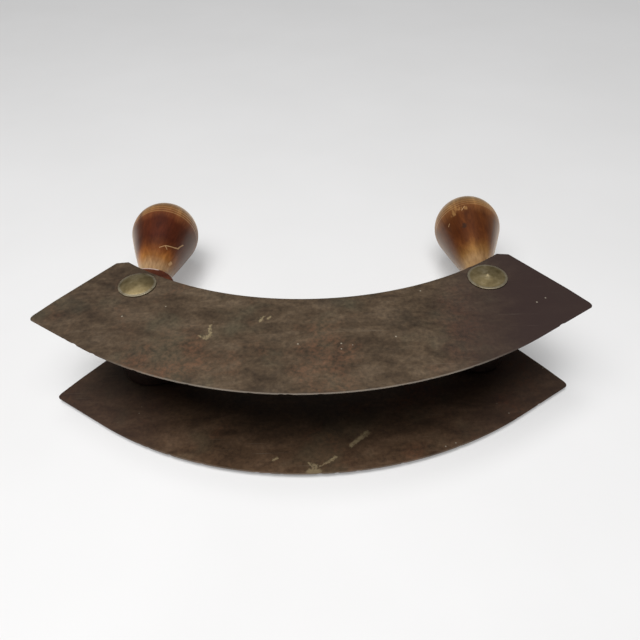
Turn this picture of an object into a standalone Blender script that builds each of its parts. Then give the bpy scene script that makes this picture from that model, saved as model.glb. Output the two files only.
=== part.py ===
"""Double-bladed mincing knife.

Two crescent blades are held apart by wooden barrels. A turned knob handle is tenoned into each
barrel, and a long rivet with a domed head at each end clamps blade, barrel, tenon and blade.

Frame, in metres: +X runs along the tool from tip to tip, +Y from the cutting edges towards the
knobs, and +Z up through both blades. The tool lies on its lower rivets, with the origin under
the middle of its bounding box.
"""
import math

import bmesh
import bpy
from mathutils import Matrix, Vector

MM = 0.001

# Blades. The cutting edge is an arc in the middle and runs straight on to the tips.
BLADE_LENGTH = 260 * MM         # between the tips, before they are rounded
BLADE_DEPTH = 60 * MM           # cutting edge to inner edge, at the middle
BLADE_THICKNESS = 1.5 * MM
EDGE_RADIUS = 179.8 * MM        # arc of the cutting edge
EDGE_ARC = math.radians(34.4)   # half of that arc
INNER_RADIUS = 148.8 * MM       # arc of the inner edge
INNER_HALF_SPAN = 96.2 * MM     # from the middle to the inner corner
TIP_ROUND = 2.5 * MM
CORNER_CUT = 4.2 * MM           # clipped off both sides of the inner corner
CORNER_ROUND = 1.2 * MM
GRIND_WIDTH = 13 * MM           # tapered band behind the cutting edge
EDGE_THICKNESS = 0.5 * MM
BLADE_SHIFT = 0.75 * MM         # the upper blade sits this far to the right, the lower to the left

# Rivets. Each is a rod with a domed head over each end.
RIVET_HALF_SPAN = 84.5 * MM
RIVET_SHIFT = 0.9 * MM          # both rivets, to the right
RIVET_UP = 72.9 * MM            # from the middle of the cutting edge, along +Y
ROD_RADIUS = 2.3 * MM
HEAD_RADIUS = {"left": 9.1 * MM, "right": 9.6 * MM}
HEAD_HEIGHT = 1.8 * MM
HEAD_RIM = 0.45 * MM            # height of the head's outer rim
HEAD_BRIM = 1.0 * MM            # width of the flat brim round the dome
ROD_PROUD = 0.2 * MM            # how far the rod stands out of the head

# Barrels between the blades. They were turned by hand, so the two differ.
BLADE_GAP = 50.9 * MM
BARREL_RADIUS = {"left": 17.2 * MM, "right": 13.6 * MM}
BARREL_ROUND = 0.8 * MM

# Handles, measured along their axis from its closest point to the rivet.
HANDLE_SPLAY = math.radians(2.0)   # each knob leans outwards
HANDLE_OFFSET = 3.5 * MM           # the axis passes the rivet on its outer side
TENON_RADIUS = 7.2 * MM
TENON_END = -5.0 * MM
SHOULDER = 5.5 * MM                # the neck seats here, in a recess in the barrel
NECK_RADIUS = 8.6 * MM             # at the shoulder
NECK_FLARE = 0.05                  # how fast the neck widens at the shoulder
TAPER_START = 45 * MM              # the neck's curve runs into the knob's taper here
TAPER_ANGLE = math.radians(17.0)
TAPER_BULGE = 0.3 * MM
KNOB_RADIUS = 19.3 * MM
KNOB_CENTRE = 84.0 * MM            # centre of the knob's round end

FIT_GAP = 0.3 * MM                 # between mating parts
CUT_MARGIN = 5 * MM                # how far a cutter runs past what it cuts
MERGE = 0.01 * MM

ARC_STEPS = 56
TIP_STEPS = 6
CORNER_STEPS = 3
GRIND_SEGMENTS = 160
ROUND_SEGMENTS = 40
HEAD_SEGMENTS = 32
ROD_SEGMENTS = 20
KNOB_STEPS = 13
TAPER_STEPS = 7
NECK_STEPS = 8
DOME_STEPS = 5

SIDES = {"left": -1, "right": 1}

# Heights of the stack, from the rods' lower ends up.
LOWER_BLADE_Z = ROD_PROUD + HEAD_HEIGHT + FIT_GAP
UPPER_BLADE_Z = LOWER_BLADE_Z + BLADE_THICKNESS + BLADE_GAP
STACK_HEIGHT = UPPER_BLADE_Z + BLADE_THICKNESS + LOWER_BLADE_Z
HANDLE_Z = STACK_HEIGHT / 2

# Distance from the cutting edge to the far side of the knobs.
DEPTH = RIVET_UP + KNOB_CENTRE * math.cos(HANDLE_SPLAY) + KNOB_RADIUS

FRONT_Y = -DEPTH / 2               # the middle of the cutting edge
RIVET_Y = FRONT_Y + RIVET_UP


def rivet_x(side):
    return SIDES[side] * RIVET_HALF_SPAN + RIVET_SHIFT


def clear_scene():
    for old in list(bpy.data.objects):
        bpy.data.objects.remove(old, do_unlink=True)


def make_collection(name):
    collection = bpy.data.collections.new(name)
    bpy.context.scene.collection.children.link(collection)
    return collection


def make_material(name, colour, roughness, metallic):
    material = bpy.data.materials.new(name)
    material.use_nodes = True
    shader = material.node_tree.nodes["Principled BSDF"]
    shader.inputs["Base Color"].default_value = (*colour, 1.0)
    shader.inputs["Roughness"].default_value = roughness
    shader.inputs["Metallic"].default_value = metallic
    return material


def mesh_object(name, bm, collection):
    """Turn a bmesh into a smooth-shaded object with sharp edges kept."""
    mesh = bpy.data.meshes.new(name)
    bm.to_mesh(mesh)
    bm.free()
    mesh.shade_smooth()
    mesh.set_sharp_from_angle(angle=math.radians(35))
    piece = bpy.data.objects.new(name, mesh)
    collection.objects.link(piece)
    return piece


def make_cutter(piece):
    piece.hide_render = True
    piece.display_type = "WIRE"
    return piece


def cylinder(name, radius, low, high, collection, segments=ROUND_SEGMENTS):
    """A cylinder along Z between two heights."""
    bm = bmesh.new()
    place = Matrix.Translation((0, 0, (low + high) / 2))
    bmesh.ops.create_cone(bm, cap_ends=True, segments=segments, radius1=radius, radius2=radius,
                          depth=high - low, matrix=place)
    return mesh_object(name, bm, collection)


def boolean(piece, cutter, operation="DIFFERENCE"):
    modifier = piece.modifiers.new(cutter.name, "BOOLEAN")
    modifier.object = cutter
    modifier.operation = operation


def turned(name, profile, collection, segments=ROUND_SEGMENTS):
    """Turn a (radius, height) profile, listed from top to bottom, about Z."""
    mesh = bpy.data.meshes.new(name)
    points = [(radius, 0, height) for radius, height in profile]
    edges = [(i, i + 1) for i in range(len(points) - 1)]
    mesh.from_pydata(points, edges, [])
    piece = bpy.data.objects.new(name, mesh)
    collection.objects.link(piece)
    screw = piece.modifiers.new("Turn", "SCREW")
    screw.axis = "Z"
    screw.steps = segments
    screw.render_steps = segments
    screw.use_merge_vertices = True
    screw.merge_threshold = MERGE
    screw.use_smooth_shade = True
    return piece


def arc(centre, radius, start, end, steps):
    """Points along an arc, with angles from +X in radians."""
    turn = (end - start) / steps
    angles = [start + turn * i for i in range(steps + 1)]
    return [centre + Vector((math.cos(a), math.sin(a))) * radius for a in angles]


def fillet(before, corner, after, radius, steps):
    """Points that round one corner of an outline."""
    to_before = (before - corner).normalized()
    to_after = (after - corner).normalized()
    half = to_before.angle(to_after) / 2
    centre = corner + (to_before + to_after).normalized() * radius / math.sin(half)
    first = corner + to_before * radius / math.tan(half) - centre
    last = corner + to_after * radius / math.tan(half) - centre
    start = math.atan2(first.y, first.x)
    sweep = math.remainder(math.atan2(last.y, last.x) - start, math.tau)
    return arc(centre, radius, start, start + sweep, steps)


def blade_outline(shift):
    """The crescent, anticlockwise from the left end of the cutting edge's arc."""
    edge_centre = Vector((0, FRONT_Y + EDGE_RADIUS))
    down = -math.pi / 2
    edge = arc(edge_centre, EDGE_RADIUS, down - EDGE_ARC, down + EDGE_ARC, ARC_STEPS)

    arc_end = edge[-1]
    run_out = BLADE_LENGTH / 2 - arc_end.x
    tip = arc_end + Vector((run_out, run_out * math.tan(EDGE_ARC)))

    inner_centre = Vector((0, FRONT_Y + BLADE_DEPTH + INNER_RADIUS))
    inner_angle = math.asin(INNER_HALF_SPAN / INNER_RADIUS)
    inner = arc(inner_centre, INNER_RADIUS, down + inner_angle, down - inner_angle, ARC_STEPS)
    corner = inner[0]
    inward = (inner[1] - corner).normalized()
    cut_start = corner + (tip - corner).normalized() * CORNER_CUT
    cut_end = corner + inward * CORNER_CUT

    right_end = fillet(arc_end, tip, corner, TIP_ROUND, TIP_STEPS)
    right_end += fillet(tip, cut_start, cut_end, CORNER_ROUND, CORNER_STEPS)
    right_end += fillet(cut_start, cut_end, inner[3], CORNER_ROUND, CORNER_STEPS)
    left_end = [Vector((-p.x, p.y)) for p in reversed(right_end)]

    kept = [p for p in inner if abs(p.x) < cut_end.x - CORNER_ROUND]
    outline = edge + right_end + kept + left_end
    return [p + Vector((shift, 0)) for p in outline]


def flat_plate(name, outline, low, thickness, collection):
    """A plate from a flat curve outline, turned into a mesh so that it can be cut."""
    curve = bpy.data.curves.new(name + "_outline", "CURVE")
    curve.dimensions = "2D"
    curve.fill_mode = "BOTH"
    curve.extrude = thickness / 2
    spline = curve.splines.new("POLY")
    spline.points.add(len(outline) - 1)
    for point, place in zip(spline.points, outline):
        point.co = (place.x, place.y, 0, 1)
    spline.use_cyclic_u = True

    guide = bpy.data.objects.new(name + "_outline", curve)
    collection.objects.link(guide)
    guide.location.z = low + thickness / 2
    bpy.context.view_layer.update()
    evaluated = guide.evaluated_get(bpy.context.evaluated_depsgraph_get())
    mesh = bpy.data.meshes.new_from_object(evaluated)
    place = guide.matrix_world.copy()
    bpy.data.objects.remove(guide, do_unlink=True)

    bm = bmesh.new()
    bm.from_mesh(mesh)
    bpy.data.meshes.remove(mesh)
    bmesh.ops.remove_doubles(bm, verts=bm.verts, dist=MERGE)
    plate = mesh_object(name, bm, collection)
    plate.matrix_world = place
    return plate


def grinding_cone(name, shift, face_z, direction, cutters):
    """A wide flat cone whose side is the ground face of a blade."""
    slope = (BLADE_THICKNESS - EDGE_THICKNESS) / 2 / GRIND_WIDTH
    rise = slope * (EDGE_RADIUS - GRIND_WIDTH)
    depth = rise + BLADE_THICKNESS + CUT_MARGIN
    bm = bmesh.new()
    bmesh.ops.create_cone(bm, cap_ends=True, segments=GRIND_SEGMENTS, radius1=depth / slope,
                          radius2=0, depth=depth)
    if direction < 0:
        bmesh.ops.rotate(bm, verts=bm.verts, matrix=Matrix.Rotation(math.pi, 3, "X"))
    cone = make_cutter(mesh_object(name, bm, cutters))
    apex_z = face_z + direction * rise
    cone.location = (shift, FRONT_Y + EDGE_RADIUS, apex_z - direction * depth / 2)
    return cone


def make_blade(name, shift, low, parts, cutters):
    blade = flat_plate(name, blade_outline(shift), low, BLADE_THICKNESS, parts)
    top = low + BLADE_THICKNESS
    boolean(blade, grinding_cone(name + "_upper_grind", shift, top, 1, cutters), "INTERSECT")
    boolean(blade, grinding_cone(name + "_lower_grind", shift, low, -1, cutters), "INTERSECT")
    for side in SIDES:
        hole = cylinder(f"{name}_{side}_hole", ROD_RADIUS + FIT_GAP, low - CUT_MARGIN,
                        top + CUT_MARGIN, cutters, ROD_SEGMENTS)
        hole.location = (rivet_x(side), RIVET_Y, 0)
        boolean(blade, make_cutter(hole))
    blade.data.materials.append(make_material(name + "_steel", (0.10, 0.08, 0.07), 0.5, 0.9))


def handle_frame(side):
    """Placement of a handle: local Z runs from the rivet out along the handle's axis."""
    lean = SIDES[side] * HANDLE_SPLAY
    along = Vector((math.sin(lean), math.cos(lean), 0))
    across = Vector((0, 0, 1))
    third = across.cross(along)
    spin = Matrix((third, across, along)).transposed().to_4x4()
    foot = Vector((rivet_x(side) + SIDES[side] * HANDLE_OFFSET, RIVET_Y, HANDLE_Z))
    return Matrix.Translation(foot) @ spin


def neck_curve(share, slope_top, radius_top):
    """Radius of the hollow neck, from 0 at the shoulder to 1 where the taper starts."""
    length = TAPER_START - SHOULDER
    rest = 1 - share
    return (
        rest * rest * (1 + 2 * share) * NECK_RADIUS
        + share * share * (1 + 2 * rest) * radius_top
        - share * rest * rest * NECK_FLARE * length
        - share * share * rest * slope_top * length
    )


def handle_profile():
    """Outline of the turned handle from the knob's end down to the tenon's end."""
    profile = []
    for i in range(KNOB_STEPS + 1):
        angle = (math.pi / 2 + TAPER_ANGLE) * i / KNOB_STEPS
        profile.append((KNOB_RADIUS * math.sin(angle), KNOB_CENTRE + KNOB_RADIUS * math.cos(angle)))

    knob_edge, taper_end = profile[-1]
    slope = math.tan(TAPER_ANGLE)
    taper_foot = knob_edge - slope * (taper_end - TAPER_START)
    for i in range(1, TAPER_STEPS + 1):
        share = i / TAPER_STEPS
        bulge = TAPER_BULGE * math.sin(share * math.pi)
        radius = knob_edge + (taper_foot - knob_edge) * share + bulge
        profile.append((radius, taper_end + (TAPER_START - taper_end) * share))
    for i in range(1, NECK_STEPS + 1):
        share = 1 - i / NECK_STEPS
        radius = neck_curve(share, slope, taper_foot)
        profile.append((radius, SHOULDER + (TAPER_START - SHOULDER) * share))
    profile.append((TENON_RADIUS, SHOULDER))
    profile.append((TENON_RADIUS, TENON_END))
    profile.append((0, TENON_END))
    return profile


def make_handle(side, parts, cutters):
    handle = turned(side + "_handle", handle_profile(), parts)
    handle.matrix_world = handle_frame(side)
    hole = cylinder(side + "_tenon_hole", ROD_RADIUS + FIT_GAP, 0, STACK_HEIGHT, cutters,
                    ROD_SEGMENTS)
    hole.location = (rivet_x(side), RIVET_Y, 0)
    boolean(handle, make_cutter(hole))
    wood = make_material(side + "_handle_wood", (0.22, 0.07, 0.03), 0.25, 0.0)
    handle.data.materials.append(wood)


def make_barrel(side, parts, cutters):
    low = LOWER_BLADE_Z + BLADE_THICKNESS + FIT_GAP
    high = UPPER_BLADE_Z - FIT_GAP
    radius = BARREL_RADIUS[side]
    barrel = cylinder(side + "_barrel", radius, low, high, parts)
    barrel.location = (rivet_x(side), RIVET_Y, 0)
    ends = barrel.modifiers.new("Rounded ends", "BEVEL")
    ends.width = BARREL_ROUND
    ends.segments = 2
    ends.limit_method = "ANGLE"
    ends.angle_limit = math.radians(60)

    bore = cylinder(side + "_barrel_bore", ROD_RADIUS + FIT_GAP, 0, STACK_HEIGHT, cutters,
                    ROD_SEGMENTS)
    bore.location = barrel.location
    boolean(barrel, make_cutter(bore))

    past = 2 * radius
    for name, width, depth in (
        ("socket", TENON_RADIUS + FIT_GAP, TENON_END - FIT_GAP),
        ("recess", NECK_RADIUS + FIT_GAP, SHOULDER - FIT_GAP),
    ):
        cutter = cylinder(f"{side}_{name}", width, depth, past, cutters)
        cutter.matrix_world = handle_frame(side)
        boolean(barrel, make_cutter(cutter))
    wood = make_material(side + "_barrel_wood", (0.25, 0.09, 0.04), 0.3, 0.0)
    barrel.data.materials.append(wood)


def make_rod(side, parts):
    rod = cylinder(side + "_rivet_rod", ROD_RADIUS, 0, STACK_HEIGHT, parts, ROD_SEGMENTS)
    rod.location = (rivet_x(side), RIVET_Y, 0)
    rod.data.materials.append(make_material(side + "_rod_brass", (0.45, 0.38, 0.22), 0.4, 1.0))


def head_profile(outer):
    """Outline of a domed head standing on z = 0, from the rod hole over to its flat underside."""
    hole = ROD_RADIUS + FIT_GAP
    dome = outer - HEAD_BRIM
    profile = []
    for i in range(DOME_STEPS + 1):
        radius = hole + (dome - hole) * i / DOME_STEPS
        fall = ((radius - hole) / (dome - hole)) ** 2
        profile.append((radius, HEAD_HEIGHT - (HEAD_HEIGHT - HEAD_RIM) * fall))
    profile.append((outer - HEAD_RIM / 3, HEAD_RIM))
    profile.append((outer, HEAD_RIM * 2 / 3))
    profile.append((outer, 0))
    profile.append((hole, 0))
    profile.append(profile[0])
    return profile


def make_head(side, level, parts):
    profile = head_profile(HEAD_RADIUS[side])
    head = turned(f"{side}_{level}_rivet_head", profile, parts, HEAD_SEGMENTS)
    place = (rivet_x(side), RIVET_Y)
    if level == "upper":
        head.location = (*place, UPPER_BLADE_Z + BLADE_THICKNESS + FIT_GAP)
    else:
        head.location = (*place, LOWER_BLADE_Z - FIT_GAP)
        head.rotation_euler = (math.pi, 0, 0)
    brass = make_material(f"{side}_{level}_brass", (0.42, 0.38, 0.24), 0.45, 1.0)
    head.data.materials.append(brass)


def main():
    clear_scene()
    parts = make_collection("double_mincing_knife")
    cutters = make_collection("cutters")
    make_blade("upper_blade", BLADE_SHIFT, UPPER_BLADE_Z, parts, cutters)
    make_blade("lower_blade", -BLADE_SHIFT, LOWER_BLADE_Z, parts, cutters)
    for side in SIDES:
        make_barrel(side, parts, cutters)
        make_handle(side, parts, cutters)
        make_rod(side, parts)
        for level in ("upper", "lower"):
            make_head(side, level, parts)


main()
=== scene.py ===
"""Looks of a double-bladed mincing knife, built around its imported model.

Lengths are in metres, in the model's frame: +X from tip to tip, +Y from the cutting edges towards
the knobs, +Z up through both blades. Colours are linear RGB.
"""

import math
import random

import bmesh
import bpy
from mathutils import Matrix, Vector, noise


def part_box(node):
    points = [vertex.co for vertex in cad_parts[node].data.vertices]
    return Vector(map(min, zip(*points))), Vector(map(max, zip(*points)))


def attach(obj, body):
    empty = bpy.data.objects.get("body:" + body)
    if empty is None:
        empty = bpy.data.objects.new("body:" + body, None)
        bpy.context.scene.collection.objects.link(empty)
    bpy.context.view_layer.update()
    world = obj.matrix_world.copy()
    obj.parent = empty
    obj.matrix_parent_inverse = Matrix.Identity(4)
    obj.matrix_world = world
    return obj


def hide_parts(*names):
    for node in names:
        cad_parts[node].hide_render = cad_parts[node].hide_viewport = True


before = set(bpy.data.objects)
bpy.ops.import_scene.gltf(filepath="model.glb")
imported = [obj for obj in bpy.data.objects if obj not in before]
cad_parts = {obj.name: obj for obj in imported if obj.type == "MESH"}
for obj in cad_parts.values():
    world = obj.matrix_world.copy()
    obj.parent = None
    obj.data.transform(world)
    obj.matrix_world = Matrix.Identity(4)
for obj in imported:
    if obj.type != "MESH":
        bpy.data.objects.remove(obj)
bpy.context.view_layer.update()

MM = 0.001
SIDES = {"left": -1, "right": 1}
LEVELS = ("upper", "lower")
FIT_GAP = 0.3 * MM              # between mating pieces
SHARP_ANGLE = math.radians(40)  # from which an edge is shaded sharp
BORE_SEGMENTS = 64

# Camera, as a place in the model's frame and three turns.
CAMERA_PLACE = Vector((13.0, -274.4, 256.9)) * MM
CAMERA_PITCH = math.radians(39.622)      # below the horizon
CAMERA_YAW = math.radians(0.248)         # to the right
CAMERA_ROLL = math.radians(-1.168)
CAMERA_LENS = 38.163                     # on this sensor
CAMERA_SENSOR = 36
CAMERA_SHIFT = (-0.03176, -0.02620)

# Blade outline, as in the CAD.
BLADE_LENGTH = 260 * MM
BLADE_DEPTH = 60 * MM
EDGE_RADIUS = 179.8 * MM
EDGE_ARC = math.radians(34.4)
INNER_RADIUS = 148.8 * MM
INNER_HALF_SPAN = 96.2 * MM
TIP_ROUND = 2.5 * MM
CORNER_CUT = 4.2 * MM
CORNER_ROUND = 1.2 * MM
ARC_STEPS = 300
FILLET_STEPS = 10

# Blade section.
GRIND_WIDTH = 13 * MM
GRIND_THICKNESS = 0.5 * MM      # where the grind meets the honed edge
HONE_WIDTH = 0.55 * MM
HONE_THICKNESS = 0.16 * MM      # of the worn edge itself
RIM_ROUND = 0.3 * MM
BLADE_STATIONS = 640
BLADE_CROWDING = 0.62           # how much closer the stations lie at the tips
BLADE_WAVE = 0.10 * MM          # of the flats, as rolling and use leave them
WAVE_SCALE = 14

# Rows of the blade's mesh, in millimetres from the cutting edge at the blade's middle.
GRIND_ROWS = [0, 0.12, 0.3, 0.55, 0.62, 1.0, 1.8, 3.0, 4.5, 6.5, 9.0, 11.5, 12.8, 13.2]
FLAT_ROWS = [15.5 + 2.6 * i for i in range(17)]
RIM_ROWS = [58.6, 59.2, 59.5, 59.7, 59.85, 59.95, 60]

# Small chips in the cutting edge: where along it, half width and depth in millimetres.
NICKS = 16
NICK_PLACES = (0.08, 0.92)
NICK_HALF_WIDTHS = (0.7, 1.8)
NICK_DEPTHS = (0.08, 0.38)
NICK_REACH = 4 * MM             # how far into the blade a chip pulls the mesh

# Handle profile, as in the CAD, and its turned rings.
HANDLE_SPLAY = math.radians(2.0)
HANDLE_OFFSET = 3.5 * MM
TENON_RADIUS = 7.2 * MM
TENON_END = -5.0 * MM
SHOULDER = 5.5 * MM
NECK_RADIUS = 8.6 * MM
NECK_FLARE = 0.05
TAPER_START = 45 * MM
TAPER_ANGLE = math.radians(17.0)
TAPER_BULGE = 0.3 * MM
RING_ANGLES = (24.0, 86.0, 92.5, 98.0)   # degrees from the knob's pole
RING_DEPTH = 0.16 * MM
RING_WIDTH = 1.1                   # degrees
HAND_WEAR = 0.10 * MM
HAND_WEAR_SCALE = (55, 40)         # around and along the handle
HAND_WEAR_SEED = 3
TURN_SEGMENTS = 144
KNOB_STEPS = 190
TAPER_STEPS = 26
NECK_STEPS = 40

# Barrels and rivets.
BARREL_ROUND = 0.9 * MM
BARREL_SWELL = 0.12 * MM
BARREL_STEPS = 40
ROUND_STEPS = 8
HEAD_RIM = 0.5 * MM
HEAD_BRIM = {"left": 0.9 * MM, "right": 1.1 * MM}
HEAD_WALL = 0.6 * MM               # of metal over the rod's end
HEAD_SEGMENTS = 112
HEAD_STEPS = 36
DOME_POWER = 2.2                   # of the left heads
CONE_POWER = 1.1                   # of the right heads
NIB_HEIGHT = 0.14                  # at the middle of a cone, as a share of its height
NIB_WIDTH = 0.09                   # as a share of its radius
ROD_CHAMFER = 0.4 * MM
ROD_SEGMENTS = 48

# Marks on the upper sides: (from, to, width), with places as (x, y), all in millimetres.
STAINS = {
    "upper": (
        ((-47.8, -52.2), (-45.4, -53.9), 1.4), ((-45.4, -53.9), (-43.8, -52.4), 1.3),
        ((-43.8, -52.4), (-44.6, -45.6), 1.0), ((-22.5, -43.5), (-21.0, -40.5), 0.8),
        ((-18.8, -41.6), (-18.0, -40.8), 0.9),
    ),
    "lower": (
        ((-1.6, -87.0), (2.2, -87.0), 2.2), ((0.2, -87.0), (0.8, -84.0), 1.7),
        ((-2.2, -81.8), (-0.6, -83.6), 0.7), ((3.0, -84.4), (5.0, -82.6), 0.5),
        ((6.0, -82.4), (10.4, -79.0), 0.9), ((17.4, -73.0), (25.6, -65.4), 1.5),
        ((-18.4, -80.0), (-16.4, -79.0), 0.8),
    ),
}
SCRATCHES = {
    "left": (
        ((-86.2, 39.8), (-83.4, 41.9), 0.28), ((-83.4, 41.9), (-80.9, 42.9), 0.36),
        ((-83.4, 41.9), (-82.4, 40.2), 0.30), ((-80.9, 42.9), (-79.1, 43.8), 0.32),
        ((-79.1, 43.8), (-77.6, 45.2), 0.36), ((-77.6, 45.2), (-76.8, 47.4), 0.24),
        ((-76.8, 47.4), (-75.6, 50.3), 0.18), ((-80.8, 32.4), (-79.9, 34.8), 0.5),
    ),
    "right": (((87.9, 64.4), (85.9, 62.0), 0.32), ((78.2, 56.2), (78.7, 57.4), 0.3)),
}
WEAR = {
    "left": (),
    "right": (
        ((79.5, 69.5), (82.5, 64.5), 2.4), ((82.5, 64.5), (88.5, 63.0), 2.0),
        ((81.3, 66.0), (81.6, 61.0), 1.4),
    ),
}
KNOTS = {"left": (), "right": (((86.3, 51.4), (86.1, 49.8), 1.7),)}
# A painted highlight: a pale glint on the left barrel's top rim.
RIM_GLINTS = {"left": (((-85.0, 2.0), (-77.5, 0.5), 2.2),), "right": ()}

# Blades: the seed of their chips, how the patina is tinted, how far painted shade darkens the left
# and right ends, and how bright the honed edge is.
BLADES = {
    "upper": (11, (0.89, 0.91, 0.94), (0.10, 0.96), 0.36),
    "lower": (29, (0.85, 0.75, 0.715), (0.50, 0.45), 0.18),
}

# Tones of the steel. A ramp's stops are (value, colour).
PATINA = ((0.30, (0.038, 0.026, 0.017)), (0.5, (0.078, 0.054, 0.034)),
          (0.70, (0.128, 0.092, 0.060)))
STEEL_GRAIN = ((0.3, (0.64, 0.64, 0.66)), (0.7, (1.36, 1.33, 1.28)))
RUST = (0.130, 0.063, 0.037)
OLIVE = (0.080, 0.072, 0.047)
SOOT = (0.034, 0.027, 0.020)
# Painted shade towards the blades' ends.
END_SHADE = (0.034, 0.022, 0.020)
ROLLING_MARK = (0.21, 0.18, 0.14)
STAIN = (0.27, 0.215, 0.125)
SPECK = (0.40, 0.36, 0.28)
HONED = (0.30, 0.265, 0.225)

# Tones of the wood. A handle's are by millimetres from the knob's end, and a broad noise moves them
# by up to half of the drift set below either way.
HANDLE_TONES = {
    "left": (
        (3, (0.095, 0.036, 0.014)), (12, (0.22, 0.130, 0.054)), (18.5, (0.19, 0.086, 0.029)),
        (22.5, (0.125, 0.038, 0.013)), (28, (0.052, 0.010, 0.003)), (40, (0.048, 0.009, 0.003)),
        (45, (0.084, 0.022, 0.006)), (49, (0.17, 0.053, 0.012)), (53, (0.23, 0.092, 0.023)),
        (58, (0.29, 0.175, 0.086)),
    ),
    "right": (
        (3, (0.110, 0.045, 0.018)), (12, (0.25, 0.160, 0.072)), (18.5, (0.20, 0.100, 0.037)),
        (22.5, (0.15, 0.057, 0.018)), (29, (0.073, 0.020, 0.004)), (41, (0.064, 0.016, 0.003)),
        (47, (0.088, 0.026, 0.006)), (51, (0.135, 0.052, 0.013)), (55, (0.195, 0.094, 0.028)),
        (60, (0.27, 0.160, 0.072)),
    ),
}
TONE_DRIFT = 11 * MM
HANDLE_GRAIN = ((0.32, (0.66, 0.60, 0.55)), (0.5, (1.0, 1.0, 1.0)), (0.68, (1.42, 1.5, 1.5)))
HANDLE_FIBRE = ((0.3, (0.80, 0.78, 0.76)), (0.7, (1.15, 1.17, 1.2)))
RING_GOLD = (0.36, 0.20, 0.075)
RUBBED = (0.36, 0.20, 0.07)
KNOT = (0.026, 0.011, 0.006)
SCRATCHED = (0.46, 0.29, 0.14)
BARREL_GRAIN = ((0.32, (0.024, 0.007, 0.004)), (0.52, (0.055, 0.015, 0.007)),
                (0.70, (0.11, 0.034, 0.013)))
BARREL_FIBRE = ((0.3, (0.74, 0.72, 0.70)), (0.7, (1.2, 1.22, 1.25)))
# Painted shade for the barrels' fronts, in the gap between the blades.
GAP_SHADE = (0.012, 0.006, 0.004)
# Pale chips, also used for the painted glint on the left barrel's rim.
CHIP_AND_GLINT = (0.55, 0.43, 0.38)

# Tones of the brass, and the spacing and height of its turning marks.
TARNISH = ((0.3, (0.30, 0.225, 0.105)), (0.55, (0.50, 0.39, 0.20)), (0.75, (0.68, 0.57, 0.35)))
# A painted highlight for the heads' brims.
BRIM_HIGHLIGHT = (0.70, 0.66, 0.54)
TURNING_PITCH = 0.45 * MM
TURNING_HEIGHT = 0.004 * MM

# Floor and lamps: (name, place, target, size, watts, colour).
FLOOR_HALF = 4.0
FLOOR_STEPS = 8
FLOOR_TONES = ((0.3, (0.483, 0.483, 0.483)), (0.7, (0.508, 0.508, 0.510)))
FLOOR_GLOW = 0.29                # a lit table top, which keeps the shadows pale
LAMPS = (
    ("near_light", (-0.10, -0.27, 0.68), (-0.06, -0.14, 0), (0.6, 0.38), 4.75, (1.0, 0.992, 0.985)),
    ("far_light", (-0.25, -1.15, 3.40), (-0.05, -0.05, 0), (1.3, 1.3), 49, (1.0, 0.994, 0.99)),
    ("top_light", (-0.16, 0.28, 2.00), (-0.15, 0.25, 0), (0.5, 0.4), 6.5, (1.0, 0.998, 1.0)),
)

# Surroundings: light from the dim room, the side that looks bright in reflections and how bright
# it is by how near a direction lies to that side, and the backdrop.
ROOM_LIGHT = (0.016, 0.016, 0.017)
ROOM_BRIGHT_SIDE = Vector((-0.10, -0.28, 0.95))
ROOM_REFLECTION = ((0.35, 0.03), (0.62, 0.22), (0.98, 1.25))
BACKDROP = (0.72, 0.72, 0.725)


# ---- Outlines ---------------------------------------------------------------------------------

def arc(centre, radius, start, end, steps):
    """Points along an arc, with angles from +X in radians."""
    turn = (end - start) / steps
    angles = [start + turn * i for i in range(steps + 1)]
    return [centre + Vector((math.cos(a), math.sin(a))) * radius for a in angles]


def fillet(before, corner, after, radius):
    """Points that round one corner of an outline."""
    to_before = (before - corner).normalized()
    to_after = (after - corner).normalized()
    half = to_before.angle(to_after) / 2
    centre = corner + (to_before + to_after).normalized() * radius / math.sin(half)
    first = corner + to_before * radius / math.tan(half) - centre
    last = corner + to_after * radius / math.tan(half) - centre
    start = math.atan2(first.y, first.x)
    sweep = math.remainder(math.atan2(last.y, last.x) - start, math.tau)
    return arc(centre, radius, start, start + sweep, FILLET_STEPS)


def mirrored(points):
    return [Vector((-p.x, p.y)) for p in reversed(points)]


def blade_paths():
    """The cutting edge and the inner edge, left to right, with y from the cutting edge's middle."""
    down = -math.pi / 2
    edge_centre = Vector((0, EDGE_RADIUS))
    edge = arc(edge_centre, EDGE_RADIUS, down - EDGE_ARC, down + EDGE_ARC, ARC_STEPS)
    run_out = BLADE_LENGTH / 2 - edge[-1].x
    tip = edge[-1] + Vector((run_out, run_out * math.tan(EDGE_ARC)))

    inner_centre = Vector((0, BLADE_DEPTH + INNER_RADIUS))
    inner_arc = math.asin(INNER_HALF_SPAN / INNER_RADIUS)
    inner = arc(inner_centre, INNER_RADIUS, down - inner_arc, down + inner_arc, ARC_STEPS)
    corner = inner[-1]
    cut_start = corner + (tip - corner).normalized() * CORNER_CUT
    cut_end = corner + (inner[-2] - corner).normalized() * CORNER_CUT

    tip_end = fillet(edge[-1], tip, corner, TIP_ROUND)
    corner_end = fillet(inner[0], cut_end, cut_start, CORNER_ROUND)
    corner_end += fillet(cut_end, cut_start, tip, CORNER_ROUND)
    kept = [p for p in inner if abs(p.x) < cut_end.x - CORNER_ROUND]
    return mirrored(tip_end) + edge + tip_end, mirrored(corner_end) + kept + corner_end


def along(path, shares):
    """Points at the given shares of a path's length."""
    lengths = [0.0]
    for before, after in zip(path, path[1:]):
        lengths.append(lengths[-1] + (after - before).length)
    points = []
    i = 0
    for share in shares:
        goal = share * lengths[-1]
        while i < len(path) - 2 and lengths[i + 1] < goal:
            i += 1
        step = max(lengths[i + 1] - lengths[i], 1e-9)
        points.append(path[i].lerp(path[i + 1], min((goal - lengths[i]) / step, 1)))
    return points


# ---- Meshes -----------------------------------------------------------------------------------

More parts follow.
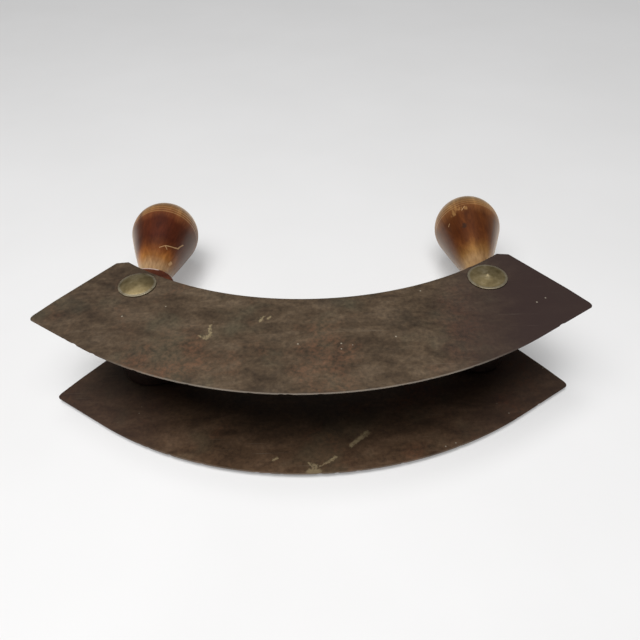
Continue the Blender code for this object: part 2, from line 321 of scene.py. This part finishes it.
def make_piece(name, verts, faces):
    mesh = bpy.data.meshes.new(name)
    mesh.from_pydata(verts, [], faces)
    bm = bmesh.new()
    bm.from_mesh(mesh)
    bmesh.ops.recalc_face_normals(bm, faces=bm.faces)
    bm.to_mesh(mesh)
    bm.free()
    mesh.shade_smooth()
    mesh.set_sharp_from_angle(angle=SHARP_ANGLE)
    piece = bpy.data.objects.new(name, mesh)
    bpy.context.scene.collection.objects.link(piece)
    return piece


def turned(name, profile, segments, place, shape=None):
    """Turn a (radius, height) profile about Z, with single points where the radius is 0."""
    verts = []
    rings = []
    for radius, height in profile:
        count = segments if radius > 0 else 1
        rings.append(range(len(verts), len(verts) + count))
        for i in range(count):
            angle = math.tau * i / segments
            local = Vector((radius * math.cos(angle), radius * math.sin(angle), height))
            if shape:
                local = shape(local)
            verts.append(place @ local)
    faces = []
    for above, below in zip(rings, rings[1:]):
        for i in range(segments):
            j = (i + 1) % segments
            corners = [above[i % len(above)], above[j % len(above)],
                       below[j % len(below)], below[i % len(below)]]
            faces.append(list(dict.fromkeys(corners)))
    return make_piece(name, verts, faces)


def cylinder(radius, low, high, place, segments=BORE_SEGMENTS):
    profile = [(0, high), (radius, high), (radius, low), (0, low)]
    return turned("cutter", profile, segments, place)


def cut(piece, cutters):
    """Boolean away each cutter and remove it."""
    for cutter in cutters:
        modifier = piece.modifiers.new("cut", "BOOLEAN")
        modifier.object = cutter
    bpy.context.view_layer.update()
    evaluated = piece.evaluated_get(bpy.context.evaluated_depsgraph_get())
    mesh = bpy.data.meshes.new_from_object(evaluated)
    piece.modifiers.clear()
    piece.data = mesh
    for cutter in cutters:
        bpy.data.objects.remove(cutter, do_unlink=True)
    mesh.materials.clear()
    mesh.set_sharp_from_angle(angle=SHARP_ANGLE)
    return piece


def finish_piece(piece, node, material):
    piece.data.materials.append(material)
    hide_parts(node)
    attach(piece, "root")


def middle(node):
    low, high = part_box(node)
    return (low + high) / 2


def rivet_axis(side):
    """Where a rivet's axis crosses z = 0."""
    centre = middle(side + "_rivet_rod")
    return Vector((centre.x, centre.y, 0))


def rod_radius(side):
    low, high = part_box(side + "_rivet_rod")
    return (high.x - low.x) / 2


# ---- Blades -----------------------------------------------------------------------------------

def blade_rows():
    """Shares of the blade's depth, closer together at the honed edge and the two rims."""
    return [row * MM / BLADE_DEPTH for row in GRIND_ROWS + FLAT_ROWS + RIM_ROWS]


def rounded(distance, radius):
    """How far a rounded rim falls below the flat, at a distance from the outline."""
    inside = radius - min(max(distance, 0), radius)
    return radius - math.sqrt(radius * radius - inside * inside)


def half_thickness(full, to_edge, to_rim):
    """Half of the blade's thickness at distances from the cutting edge and the nearest rim."""
    if to_edge < HONE_WIDTH:
        share = to_edge / HONE_WIDTH
        half = (HONE_THICKNESS + (GRIND_THICKNESS - HONE_THICKNESS) * share) / 2
    else:
        share = min((to_edge - HONE_WIDTH) / (GRIND_WIDTH - HONE_WIDTH), 1)
        half = (GRIND_THICKNESS + (full - GRIND_THICKNESS) * share) / 2
    return max(half - rounded(to_rim, RIM_ROUND), HONE_THICKNESS / 2)


def make_nicks(length, seed):
    """Small chips in the cutting edge, as (place along it, half width, depth)."""
    draw = random.Random(seed)
    nicks = []
    for _ in range(NICKS):
        place = draw.uniform(*NICK_PLACES) * length
        half_width = draw.uniform(*NICK_HALF_WIDTHS) * MM
        nicks.append((place, half_width, draw.uniform(*NICK_DEPTHS) * MM))
    return nicks


def nick_depth(place, nicks):
    depth = 0.0
    for centre, half_width, deepest in nicks:
        reach = abs(place - centre) / half_width
        if reach < 1:
            depth = max(depth, deepest * (1 - reach * reach))
    return depth


def blade_points(full, place, seed):
    """Points of the blade's upper and lower side, station by station from left to right."""
    turns = [2 * i / BLADE_STATIONS - 1 for i in range(BLADE_STATIONS + 1)]
    shares = [(1 + t + BLADE_CROWDING * math.sin(math.pi * t) / math.pi) / 2 for t in turns]
    edge_path, inner_path = blade_paths()
    edge = along(edge_path, shares)
    inner = along(inner_path, shares)
    length = sum((b - a).length for a, b in zip(edge, edge[1:]))
    nicks = make_nicks(length, seed)
    rows = blade_rows()

    tops, bottoms = [], []
    for share, start, end in zip(shares, edge, inner):
        inward = (end - start).normalized()
        nick = nick_depth(share * length, nicks)
        depth = (end - start).length
        to_end = min(share, 1 - share) * length
        for row in rows:
            to_edge = row * depth
            fade = max(1 - to_edge / NICK_REACH, 0)
            flat = start.lerp(end, row) + inward * nick * fade * fade
            half = half_thickness(full, to_edge, min(depth - to_edge, to_end))
            wavy = Vector((flat.x * WAVE_SCALE, flat.y * WAVE_SCALE, seed))
            spot = place + Vector((flat.x, flat.y, noise.noise(wavy) * BLADE_WAVE))
            tops.append(spot + Vector((0, 0, half)))
            bottoms.append(spot - Vector((0, 0, half)))
    return tops, bottoms


def blade_faces(width, under):
    """Faces of both sides and the outline, for stations of width points each.

    The lower side's points start at the index under.
    """
    count = BLADE_STATIONS
    faces = []
    for i in range(count):
        for j in range(width - 1):
            a, b = i * width + j, (i + 1) * width + j
            faces.append((a, b, b + 1, a + 1))
            faces.append((under + a, under + a + 1, under + b + 1, under + b))
    ring = [i * width for i in range(count + 1)]
    ring += [count * width + j for j in range(1, width)]
    ring += [i * width + width - 1 for i in range(count - 1, -1, -1)]
    ring += list(range(width - 2, 0, -1))
    for a, b in zip(ring, ring[1:] + ring[:1]):
        faces.append((a, under + a, under + b, b))
    return faces


def make_blade(node, seed, material):
    low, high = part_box(node)
    full = high.z - low.z
    place = Vector(((low.x + high.x) / 2, low.y, (low.z + high.z) / 2))
    tops, bottoms = blade_points(full, place, seed)
    faces = blade_faces(len(blade_rows()), len(tops))
    blade = make_piece("steel_" + node, tops + bottoms, faces)
    holes = []
    for side in SIDES:
        at = Matrix.Translation(rivet_axis(side))
        radius = rod_radius(side) + FIT_GAP
        holes.append(cylinder(radius, low.z - full, high.z + full, at, ROD_SEGMENTS))
    cut(blade, holes)
    finish_piece(blade, node, material)


# ---- Handles ----------------------------------------------------------------------------------

def handle_place(side):
    """Local Z runs from the rivet out along the handle's axis."""
    lean = SIDES[side] * HANDLE_SPLAY
    out = Vector((math.sin(lean), math.cos(lean), 0))
    across = Vector((0, 0, 1))
    spin = Matrix((across.cross(out), across, out)).transposed().to_4x4()
    foot = rivet_axis(side) + Vector((SIDES[side] * HANDLE_OFFSET, 0, 0))
    foot.z = middle(side + "_handle").z
    return Matrix.Translation(foot) @ spin


def ring_groove(angle):
    """Depth of the turned rings at an angle from the knob's pole, in degrees."""
    return sum(RING_DEPTH * math.exp(-((angle - ring) / RING_WIDTH) ** 2) for ring in RING_ANGLES)


def neck_curve(share, slope_top, radius_top):
    """Radius of the hollow neck, from 0 at the shoulder to 1 where the taper starts."""
    length = TAPER_START - SHOULDER
    rest = 1 - share
    return (
        rest * rest * (1 + 2 * share) * NECK_RADIUS
        + share * share * (1 + 2 * rest) * radius_top
        - share * rest * rest * NECK_FLARE * length
        - share * share * rest * slope_top * length
    )


def handle_profile(side):
    """Outline of the turned handle from the knob's end down to the tenon's end."""
    low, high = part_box(side + "_handle")
    knob = (high.z - low.z) / 2
    centre = (high.y - knob - rivet_axis(side).y) / math.cos(HANDLE_SPLAY)
    profile = [(0, centre + knob)]
    for i in range(1, KNOB_STEPS + 1):
        angle = (math.pi / 2 + TAPER_ANGLE) * i / KNOB_STEPS
        radius = knob - ring_groove(math.degrees(angle))
        profile.append((radius * math.sin(angle), centre + radius * math.cos(angle)))

    knob_edge, taper_end = profile[-1]
    slope = math.tan(TAPER_ANGLE)
    taper_foot = knob_edge - slope * (taper_end - TAPER_START)
    for i in range(1, TAPER_STEPS + 1):
        share = i / TAPER_STEPS
        bulge = TAPER_BULGE * math.sin(share * math.pi)
        radius = knob_edge + (taper_foot - knob_edge) * share + bulge
        profile.append((radius, taper_end + (TAPER_START - taper_end) * share))
    for i in range(1, NECK_STEPS + 1):
        share = 1 - i / NECK_STEPS
        radius = neck_curve(share, slope, taper_foot)
        profile.append((radius, SHOULDER + (TAPER_START - SHOULDER) * share))
    profile += [(TENON_RADIUS, SHOULDER), (TENON_RADIUS, TENON_END), (0, TENON_END)]
    return profile


def hand_worn(seed):
    """A shape function that makes turned wood slightly uneven, as years of use leave it."""
    around, lengthwise = HAND_WEAR_SCALE

    def shape(local):
        flat = Vector((local.x, local.y, 0))
        if flat.length == 0:
            return local
        spot = Vector((local.x * around, local.y * around, local.z * lengthwise + seed))
        return local + flat.normalized() * noise.noise(spot) * HAND_WEAR
    return shape


def make_handle(side, material):
    handle = turned("turned_" + side + "_handle", handle_profile(side), TURN_SEGMENTS,
                    handle_place(side), hand_worn(HAND_WEAR_SEED + SIDES[side]))
    low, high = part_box(side + "_rivet_rod")
    at = Matrix.Translation(rivet_axis(side))
    cut(handle, [cylinder(rod_radius(side) + FIT_GAP, low.z, high.z, at)])
    finish_piece(handle, side + "_handle", material)


# ---- Barrels ----------------------------------------------------------------------------------

def barrel_profile(radius, low, high):
    """Outline of a barrel from its top down: a rounded rim, a slight swell and a rounded rim."""
    rim = []
    for i in range(ROUND_STEPS + 1):
        angle = math.pi / 2 * i / ROUND_STEPS
        inset = BARREL_ROUND * (1 - math.sin(angle))
        rim.append((radius - inset, BARREL_ROUND * (1 - math.cos(angle))))
    profile = [(0, high)]
    profile += [(out, high - drop) for out, drop in rim]
    for i in range(1, BARREL_STEPS):
        share = i / BARREL_STEPS
        swell = BARREL_SWELL * math.sin(share * math.pi)
        drop = BARREL_ROUND + (high - low - 2 * BARREL_ROUND) * share
        profile.append((radius + swell, high - drop))
    profile += [(out, low + drop) for out, drop in reversed(rim)]
    profile.append((0, low))
    return profile


def make_barrel(side, material):
    low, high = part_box(side + "_barrel")
    radius = (high.x - low.x) / 2
    profile = barrel_profile(radius, low.z, high.z)
    at = Matrix.Translation(rivet_axis(side))
    barrel = turned("turned_" + side + "_barrel", profile, TURN_SEGMENTS, at)
    past = 2 * radius
    tilt = handle_place(side)
    cut(barrel, [
        cylinder(rod_radius(side) + FIT_GAP, low.z - MM, high.z + MM, at),
        cylinder(TENON_RADIUS + FIT_GAP, TENON_END - FIT_GAP, past, tilt),
        cylinder(NECK_RADIUS + FIT_GAP, SHOULDER - FIT_GAP, past, tilt),
    ])
    finish_piece(barrel, side + "_barrel", material)


# ---- Rivets -----------------------------------------------------------------------------------

def head_height(side, share):
    """Height of a head over its rim, from the axis (0) to the rim (1): one domed, one peaked."""
    if side == "left":
        return 1 - share ** DOME_POWER
    nib = NIB_HEIGHT * math.exp(-((share / NIB_WIDTH) ** 2))
    return (1 - NIB_HEIGHT) * (1 - share) ** CONE_POWER + nib


def make_head(side, level, material):
    low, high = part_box(f"{side}_{level}_rivet_head")
    rod_low, rod_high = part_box(side + "_rivet_rod")
    radius = (high.x - low.x) / 2
    upward = level == "upper"
    base = low.z if upward else high.z
    tall = rod_high.z - base if upward else base - rod_low.z

    crown = radius - HEAD_BRIM[side]
    profile = [(0, tall)]
    for i in range(1, HEAD_STEPS + 1):
        share = i / HEAD_STEPS
        rise = (tall - HEAD_RIM) * head_height(side, share)
        profile.append((crown * share, HEAD_RIM + rise))
    rim_round = HEAD_RIM / 2
    for i in range(ROUND_STEPS + 1):
        angle = math.pi / 2 - math.pi * i / ROUND_STEPS
        profile.append((radius - rim_round + rim_round * math.cos(angle),
                        rim_round + rim_round * math.sin(angle)))
    hole = rod_radius(side) + FIT_GAP
    profile += [(hole, 0), (hole, tall - HEAD_WALL), (0, tall - HEAD_WALL)]

    place = Matrix.Translation(rivet_axis(side) + Vector((0, 0, base)))
    if not upward:
        place = place @ Matrix.Rotation(math.pi, 4, "X")
    head = turned(f"domed_{side}_{level}_rivet_head", profile, HEAD_SEGMENTS, place)
    finish_piece(head, f"{side}_{level}_rivet_head", material)


def make_rod(side, material):
    """The rod ends inside both heads, with its edges filed off."""
    low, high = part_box(side + "_rivet_rod")
    radius = rod_radius(side)
    end = HEAD_WALL + FIT_GAP
    filed = radius - ROD_CHAMFER
    top = high.z - end
    bottom = low.z + end
    profile = [(0, top), (filed, top), (radius, top - ROD_CHAMFER)]
    profile += [(radius, bottom + ROD_CHAMFER), (filed, bottom), (0, bottom)]
    at = Matrix.Translation(rivet_axis(side))
    rod = turned(f"filed_{side}_rivet_rod", profile, ROD_SEGMENTS, at)
    finish_piece(rod, side + "_rivet_rod", material)


# ---- Materials --------------------------------------------------------------------------------

class Shade:
    """A material whose nodes are added by one short call each."""

    def __init__(self, name):
        self.material = bpy.data.materials.new(name)
        self.material.use_nodes = True
        self.nodes = self.material.node_tree.nodes
        self.links = self.material.node_tree.links
        self.shader = self.nodes["Principled BSDF"]
        self.coords = self.nodes.new("ShaderNodeTexCoord").outputs["Object"]

    def feed(self, socket, value):
        if isinstance(value, bpy.types.NodeSocket):
            self.links.new(value, socket)
        elif isinstance(value, (tuple, list)) and socket.type == "RGBA" and len(value) == 3:
            socket.default_value = (*value, 1)
        else:
            socket.default_value = value

    def node(self, kind, inputs, **settings):
        made = self.nodes.new("ShaderNode" + kind)
        for key, value in settings.items():
            setattr(made, key, value)
        for key, value in inputs.items():
            self.feed(made.inputs[key], value)
        return made

    def set(self, **values):
        for key, value in values.items():
            self.feed(self.shader.inputs[key.replace("_", " ")], value)

    def math(self, operation, a, b=0.0, clamp=False):
        return self.node("Math", {0: a, 1: b}, operation=operation, use_clamp=clamp).outputs[0]

    def times(self, a, b):
        return self.math("MULTIPLY", a, b)

    def vector(self, operation, a, b):
        return self.node("VectorMath", {0: a, 1: b}, operation=operation)

    def scaled(self, scale, coords=None):
        return self.vector("MULTIPLY", coords or self.coords, scale).outputs[0]

    def noise(self, scale, detail, roughness, coords=None, distortion=0.0):
        inputs = {"Vector": coords or self.coords, "Scale": scale, "Detail": detail,
                  "Roughness": roughness, "Distortion": distortion}
        return self.node("TexNoise", inputs).outputs[0]

    def part(self, value, low, high):
        """0 at low, 1 at high, smooth between."""
        inputs = {"Value": value, "From Min": low, "From Max": high}
        return self.node("MapRange", inputs, interpolation_type="SMOOTHSTEP").outputs[0]

    def mix(self, share, a, b, blend="MIX"):
        made = self.node("Mix", {0: share, 6: a, 7: b}, data_type="RGBA", blend_type=blend)
        return made.outputs[2]

    def cover(self, colour, where, share, tone):
        """A tone laid over the colour, by a share where the mask is 1."""
        return self.mix(self.times(where, share), colour, tone)

    def grained(self, colour, value, stops):
        """The colour made darker and lighter by a ramp."""
        return self.mix(1.0, colour, self.ramp(value, stops), "MULTIPLY")

    def ramp(self, value, stops):
        made = self.node("ValToRGB", {0: value})
        band = made.color_ramp
        while len(band.elements) < len(stops):
            band.elements.new(0.5)
        for element, (place, colour) in zip(band.elements, stops):
            element.position = place
            element.color = (*colour, 1)
        return made.outputs[0]

    def axis(self, name, coords=None):
        return self.node("SeparateXYZ", {0: coords or self.coords}).outputs[name]

    def from_line(self, place):
        """Distance from the upright line through a place with z = 0."""
        flat = self.vector("MULTIPLY", self.coords, (1, 1, 0)).outputs[0]
        return self.vector("DISTANCE", flat, place).outputs["Value"]

    def bump(self, height, distance, strength, normal=None):
        made = self.node("Bump", {"Height": height, "Distance": distance, "Strength": strength})
        if normal:
            self.feed(made.inputs["Normal"], normal)
        return made.outputs[0]

    def stroke(self, start, end, width, coords):
        """1 along a line between two (x, y) places, in millimetres, fading out at its width."""
        a = Vector((*start, 0)) * MM
        span = Vector((*end, 0)) * MM - a
        offset = self.vector("SUBTRACT", coords, a).outputs[0]
        flat = self.vector("MULTIPLY", offset, (1, 1, 0)).outputs[0]
        reach = self.vector("DOT_PRODUCT", flat, span / span.length_squared).outputs["Value"]
        reach = self.math("MULTIPLY", reach, 1.0, clamp=True)
        nearest = self.node("VectorMath", {0: span, "Scale": reach}, operation="SCALE").outputs[0]
        away = self.vector("DISTANCE", flat, nearest).outputs["Value"]
        return self.part(away, width * MM, 0.35 * width * MM)

    def ragged(self, reach, scale):
        """Coordinates shifted a little in every direction, for ragged outlines."""
        inputs = {"Vector": self.coords, "Scale": scale, "Detail": 3.0}
        colour = self.node("TexNoise", inputs).outputs["Color"]
        shift = self.vector("SUBTRACT", colour, (0.5, 0.5, 0.5)).outputs[0]
        return self.vector("ADD", self.coords, self.scaled((reach,) * 3, shift)).outputs[0]

    def strokes(self, lines, coords, above):
        """Every line together, on the side that faces up from a height."""
        total = 0.0
        for start, end, width in lines:
            total = self.math("MAXIMUM", total, self.stroke(start, end, width, coords))
        return self.times(total, self.part(self.axis("Z"), above, above + 0.4 * MM))


def patina(s, cloud, fine, rust, tint):
    """Mottled brown, with rust, olive and sooty patches."""
    colour = s.ramp(cloud, PATINA)
    colour = s.cover(colour, rust, 0.55, RUST)
    olive = s.part(s.noise(44, 4, 0.5, s.scaled((1, 1, 3))), 0.52, 0.7)
    colour = s.cover(colour, olive, 0.5, OLIVE)
    soot = s.part(s.noise(60, 6, 0.7, s.scaled((0.8, 1, 2))), 0.53, 0.66)
    colour = s.cover(colour, soot, 0.45, SOOT)
    colour = s.grained(colour, fine, STEEL_GRAIN)
    return s.mix(1.0, colour, tint, "MULTIPLY")


def honed_edge(s, low, high, fine, bright_edge):
    """How bare the steel is along the cutting edge, fading out towards the tips."""
    edge_centre = Vector(((low.x + high.x) / 2, low.y + EDGE_RADIUS, 0))
    to_edge = s.math("SUBTRACT", EDGE_RADIUS, s.from_line(edge_centre))
    to_edge = s.math("ADD", to_edge, s.times(s.math("SUBTRACT", fine, 0.5), 0.5 * MM))
    bare = s.part(to_edge, 0.75 * MM, 0.35 * MM)
    bare = s.times(bare, s.part(s.math("ABSOLUTE", s.axis("X")), 0.095, 0.060))
    return s.times(bare, bright_edge)


def steel(name, node, tint, stains, end_shades, bright_edge):
    """Old carbon steel: brown patina with rust, sooty patches, rolling marks and stains."""
    s = Shade(name)
    low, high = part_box(node)
    streaked = s.scaled((0.55, 1.25, 1.0))
    broad = s.noise(26, 5, 0.6)
    cloud = s.noise(95, 7, 0.65, streaked, 0.4)
    fine = s.noise(520, 6, 0.7)
    rust = s.times(s.part(broad, 0.50, 0.66), s.part(fine, 0.36, 0.62))
    colour = patina(s, cloud, fine, rust, tint)

    # Painted shade: darker and purplish towards the ends, mostly the right one.
    for side, share in zip(SIDES, end_shades):
        outward = s.times(s.axis("X"), SIDES[side])
        end = s.part(s.math("ADD", outward, s.times(broad, 0.05)), 0.070, 0.125)
        colour = s.cover(colour, end, share, END_SHADE)

    # Rolling marks along the blade, a few pale stains and small specks.
    rolled = s.part(s.noise(70, 3, 0.6, s.scaled((0.35, 24, 1))), 0.66, 0.78)
    colour = s.cover(colour, rolled, 0.35, ROLLING_MARK)
    stain = s.strokes(stains, s.ragged(2.8 * MM, 900.0), (low.z + high.z) / 2)
    stain = s.times(stain, s.part(fine, 0.30, 0.55))
    colour = s.cover(colour, stain, 0.7, STAIN)
    pits = s.node("TexVoronoi", {"Vector": s.coords, "Scale": 210.0}, feature="F1")
    keep = s.part(s.axis("X", pits.outputs["Color"]), 0.90, 0.94)
    specks = s.times(s.part(pits.outputs["Distance"], 0.11, 0.05), keep)
    colour = s.cover(colour, specks, 0.6, SPECK)

    honed = honed_edge(s, low, high, fine, bright_edge)
    colour = s.mix(honed, colour, HONED)
    metal = s.math("ADD", 0.08, s.times(honed, 0.30))
    rough = s.math("ADD", 0.40, s.times(cloud, 0.22))
    rough = s.math("ADD", rough, s.times(s.math("MAXIMUM", rust, stain), 0.2))
    rough = s.math("SUBTRACT", rough, s.times(honed, 0.2))
    s.set(Base_Color=colour, Metallic=metal, Roughness=rough, Specular_IOR_Level=0.25)
    relief = s.bump(s.noise(1400, 5, 0.7), 0.05 * MM, 0.6)
    relief = s.bump(s.noise(160, 4, 0.6, streaked), 0.12 * MM, 0.5, relief)
    dents = s.math("SUBTRACT", 1.0, s.math("MAXIMUM", rolled, specks))
    s.set(Normal=s.bump(dents, 0.03 * MM, 0.6, relief))
    return s.material


def handle_tone(s, side, from_end, length):
    """Dark in the middle of the knob and golden on either side of it, by distance from its end."""
    drift = s.math("SUBTRACT", s.noise(48, 5, 0.6, s.scaled((1, 0.35, 1))), 0.5)
    drifted = s.math("ADD", from_end, s.times(drift, TONE_DRIFT))
    stops = [(place * MM / length, tone) for place, tone in HANDLE_TONES[side]]
    return s.ramp(s.math("DIVIDE", drifted, length), stops)


def wood(name, side):
    """Varnished turned wood: red-brown knob, golden at its widest and towards the neck."""
    s = Shade(name)
    low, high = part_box(side + "_handle")
    middle_height = (low.z + high.z) / 2
    from_end = s.math("SUBTRACT", high.y, s.axis("Y"))
    colour = handle_tone(s, side, from_end, high.y - low.y)
    grain = s.noise(130, 6, 0.6, s.scaled((1, 0.10, 1)), 0.8)
    colour = s.grained(colour, grain, HANDLE_GRAIN)
    fibre = s.noise(900, 4, 0.6, s.scaled((1, 0.05, 1)))
    colour = s.grained(colour, fibre, HANDLE_FIBRE)

    # Gold where the varnish is rubbed off the turned rings.
    knob = (high.z - low.z) / 2
    for angle in RING_ANGLES:
        place = knob * (1 - math.cos(math.radians(angle)))
        off = s.math("ABSOLUTE", s.math("SUBTRACT", from_end, place))
        ring = s.times(s.part(off, 0.75 * MM, 0.2 * MM), s.part(grain, 0.25, 0.6))
        colour = s.cover(colour, ring, 0.5, RING_GOLD)

    ragged = s.ragged(3.0 * MM, 420.0)
    rubbed = s.times(s.strokes(WEAR[side], ragged, middle_height), s.part(fibre, 0.38, 0.62))
    colour = s.cover(colour, rubbed, 0.5, RUBBED)
    colour = s.cover(colour, s.strokes(KNOTS[side], ragged, middle_height), 0.85, KNOT)
    scratch = s.strokes(SCRATCHES[side], s.coords, middle_height)
    colour = s.cover(colour, scratch, 0.65, SCRATCHED)
    s.set(Base_Color=colour, Specular_IOR_Level=0.05)
    s.set(Coat_Weight=0.32, Coat_Roughness=0.2, Coat_IOR=1.5)
    s.set(Sheen_Weight=0.48, Sheen_Roughness=0.38, Sheen_Tint=(1.0, 0.82, 0.64))
    s.set(Roughness=s.math("ADD", 0.42, s.times(grain, 0.2)))
    relief = s.bump(fibre, 0.03 * MM, 0.5)
    s.set(Normal=s.bump(s.math("SUBTRACT", 1.0, scratch), 0.05 * MM, 0.6, relief))
    return s.material


def barrel_wood(name, side):
    """The same varnished wood with its grain upright, and painted shade that makes its front,
    between the blades, nearly black.
    """
    s = Shade(name)
    grain = s.noise(120, 6, 0.6, s.scaled((1, 1, 0.12)), 0.8)
    fibre = s.noise(900, 4, 0.6, s.scaled((1, 1, 0.06)))
    colour = s.grained(s.ramp(grain, BARREL_GRAIN), fibre, BARREL_FIBRE)
    # Painted shade: the front of each barrel, which faces into the gap between the blades, darkened
    # nearly to black.
    axis = rivet_axis(side)
    y = s.math("ADD", s.axis("Y"), s.times(grain, 4 * MM))
    colour = s.cover(colour, s.part(y, axis.y + 11 * MM, axis.y + 2 * MM), 0.85, GAP_SHADE)

    # Pale chips on both rims, and a painted highlight: a pale glint along the left barrel's top
    # rim.
    low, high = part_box(side + "_barrel")
    outer = (high.x - low.x) / 2
    from_middle = s.math("ABSOLUTE", s.math("SUBTRACT", s.axis("Z"), (low.z + high.z) / 2))
    half = (high.z - low.z) / 2
    edge = s.times(s.part(from_middle, half - 1.3 * MM, half - 0.3 * MM),
                   s.part(s.from_line(axis), outer - 1.6 * MM, outer - 0.8 * MM))
    glint = s.strokes(RIM_GLINTS[side], s.ragged(2.0 * MM, 420.0), 0)
    chips_and_glint = s.math("MAXIMUM", s.part(s.noise(170, 4, 0.6), 0.56, 0.66), glint)
    colour = s.cover(colour, s.times(chips_and_glint, edge), 0.8, CHIP_AND_GLINT)
    s.set(Base_Color=colour, Specular_IOR_Level=0.3, Coat_Weight=0.4, Coat_Roughness=0.18)
    s.set(Roughness=s.math("ADD", 0.36, s.times(grain, 0.2)))
    s.set(Normal=s.bump(fibre, 0.03 * MM, 0.5))
    return s.material


def brass(name, side):
    """Aged nickel brass, turned, with olive tarnish and a paler brim, which is a painted highlight.
    """
    s = Shade(name)
    radius = s.from_line(rivet_axis(side))
    tarnish = s.noise(230, 5, 0.6)
    colour = s.ramp(tarnish, TARNISH)
    low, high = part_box(side + "_upper_rivet_head")
    outer = (high - low).x / 2
    # Painted highlight: the brim made paler all round.
    brim_highlight = s.times(s.part(radius, outer - 1.5 * MM, outer - 0.7 * MM), s.part(tarnish, 0.25, 0.5))
    colour = s.cover(colour, brim_highlight, 0.45, BRIM_HIGHLIGHT)
    s.set(Base_Color=colour, Metallic=0.9)
    s.set(Roughness=s.math("ADD", 0.30, s.times(tarnish, 0.22)))
    rings = s.math("SINE", s.times(radius, math.tau / TURNING_PITCH))
    relief = s.bump(rings, TURNING_HEIGHT, 0.5)
    s.set(Normal=s.bump(s.noise(1200, 3, 0.6), 0.03 * MM, 0.5, relief))
    return s.material


def floor_paper():
    s = Shade("pale_floor")
    s.set(Base_Color=s.ramp(s.noise(9.0, 3, 0.5), FLOOR_TONES), Roughness=0.8)
    s.set(Specular_IOR_Level=0.2, Emission_Color=(1.0, 1.0, 1.0), Emission_Strength=FLOOR_GLOW)
    s.set(Normal=s.bump(s.noise(600, 4, 0.6), 0.05 * MM, 0.3))
    return s.material


# ---- Studio -----------------------------------------------------------------------------------

def make_floor():
    steps = FLOOR_STEPS
    marks = [FLOOR_HALF * (2 * i / steps - 1) for i in range(steps + 1)]
    verts = [(x, y, 0) for x in marks for y in marks]
    faces = []
    for i in range(steps):
        for j in range(steps):
            a = i * (steps + 1) + j
            faces.append((a, a + steps + 1, a + steps + 2, a + 1))
    floor = make_piece("floor", verts, faces)
    if floor.data.polygons[0].normal.z < 0:
        floor.data.flip_normals()
    floor.data.materials.append(floor_paper())


def soft_box(name, place, target, size, power, colour):
    lamp = bpy.data.lights.new(name, "AREA")
    lamp.shape = "RECTANGLE"
    lamp.size, lamp.size_y = size
    lamp.energy = power
    lamp.color = colour
    holder = bpy.data.objects.new(name, lamp)
    holder.location = place
    aim = Vector(target) - Vector(place)
    holder.rotation_euler = aim.to_track_quat("-Z", "Y").to_euler()
    holder.visible_glossy = False
    bpy.context.scene.collection.objects.link(holder)


def make_world():
    """A dim room, brighter overhead in reflections, with a pale backdrop for the camera."""
    world = bpy.data.worlds.new("room")
    bpy.context.scene.world = world
    world.use_nodes = True
    nodes = world.node_tree.nodes
    links = world.node_tree.links
    coords = nodes.new("ShaderNodeTexCoord")
    toward = nodes.new("ShaderNodeVectorMath")
    toward.operation = "DOT_PRODUCT"
    toward.inputs[1].default_value = ROOM_BRIGHT_SIDE.normalized()
    links.new(coords.outputs["Generated"], toward.inputs[0])
    band = nodes.new("ShaderNodeValToRGB")
    band.color_ramp.elements.new(0.5)
    for element, (place, level) in zip(band.color_ramp.elements, ROOM_REFLECTION):
        element.position = place
        element.color = (level, level, level, 1)
    links.new(toward.outputs["Value"], band.inputs[0])
    path = nodes.new("ShaderNodeLightPath")
    shown = nodes["Background"].inputs["Color"]
    below = (*ROOM_LIGHT, 1)
    for kind, colour in (("Is Glossy Ray", band.outputs[0]), ("Is Camera Ray", (*BACKDROP, 1))):
        pick = nodes.new("ShaderNodeMix")
        pick.data_type = "RGBA"
        links.new(path.outputs[kind], pick.inputs[0])
        for socket, value in ((pick.inputs[6], below), (pick.inputs[7], colour)):
            if isinstance(value, tuple):
                socket.default_value = value
            else:
                links.new(value, socket)
        below = pick.outputs[2]
    links.new(below, shown)


def make_camera():
    data = bpy.data.cameras.new("camera")
    data.sensor_width = CAMERA_SENSOR
    data.lens = CAMERA_LENS
    data.shift_x, data.shift_y = CAMERA_SHIFT
    camera = bpy.data.objects.new("camera", data)
    forward = Vector((math.sin(CAMERA_YAW) * math.cos(CAMERA_PITCH),
                      math.cos(CAMERA_YAW) * math.cos(CAMERA_PITCH), -math.sin(CAMERA_PITCH)))
    right = Vector((math.cos(CAMERA_YAW), -math.sin(CAMERA_YAW), 0))
    up = right.cross(forward)
    spin = Matrix((right, up, -forward)).transposed() @ Matrix.Rotation(CAMERA_ROLL, 3, "Z")
    camera.matrix_world = Matrix.Translation(CAMERA_PLACE) @ spin.to_4x4()
    bpy.context.scene.collection.objects.link(camera)
    bpy.context.scene.camera = camera


bpy.context.scene.view_settings.view_transform = "Standard"
make_camera()
make_world()
make_floor()
for lamp in LAMPS:
    soft_box(*lamp)

for level, (seed, tint, end_shades, bright_edge) in BLADES.items():
    node = level + "_blade"
    material = steel("patina_" + level, node, tint, STAINS[level], end_shades, bright_edge)
    make_blade(node, seed, material)
rod_brass = brass("rod_brass", "left")
for side in SIDES:
    make_handle(side, wood(side + "_varnish", side))
    make_barrel(side, barrel_wood(side + "_barrel_varnish", side))
    make_rod(side, rod_brass)
    head_brass = brass(side + "_head_brass", side)
    for level in LEVELS:
        make_head(side, level, head_brass)
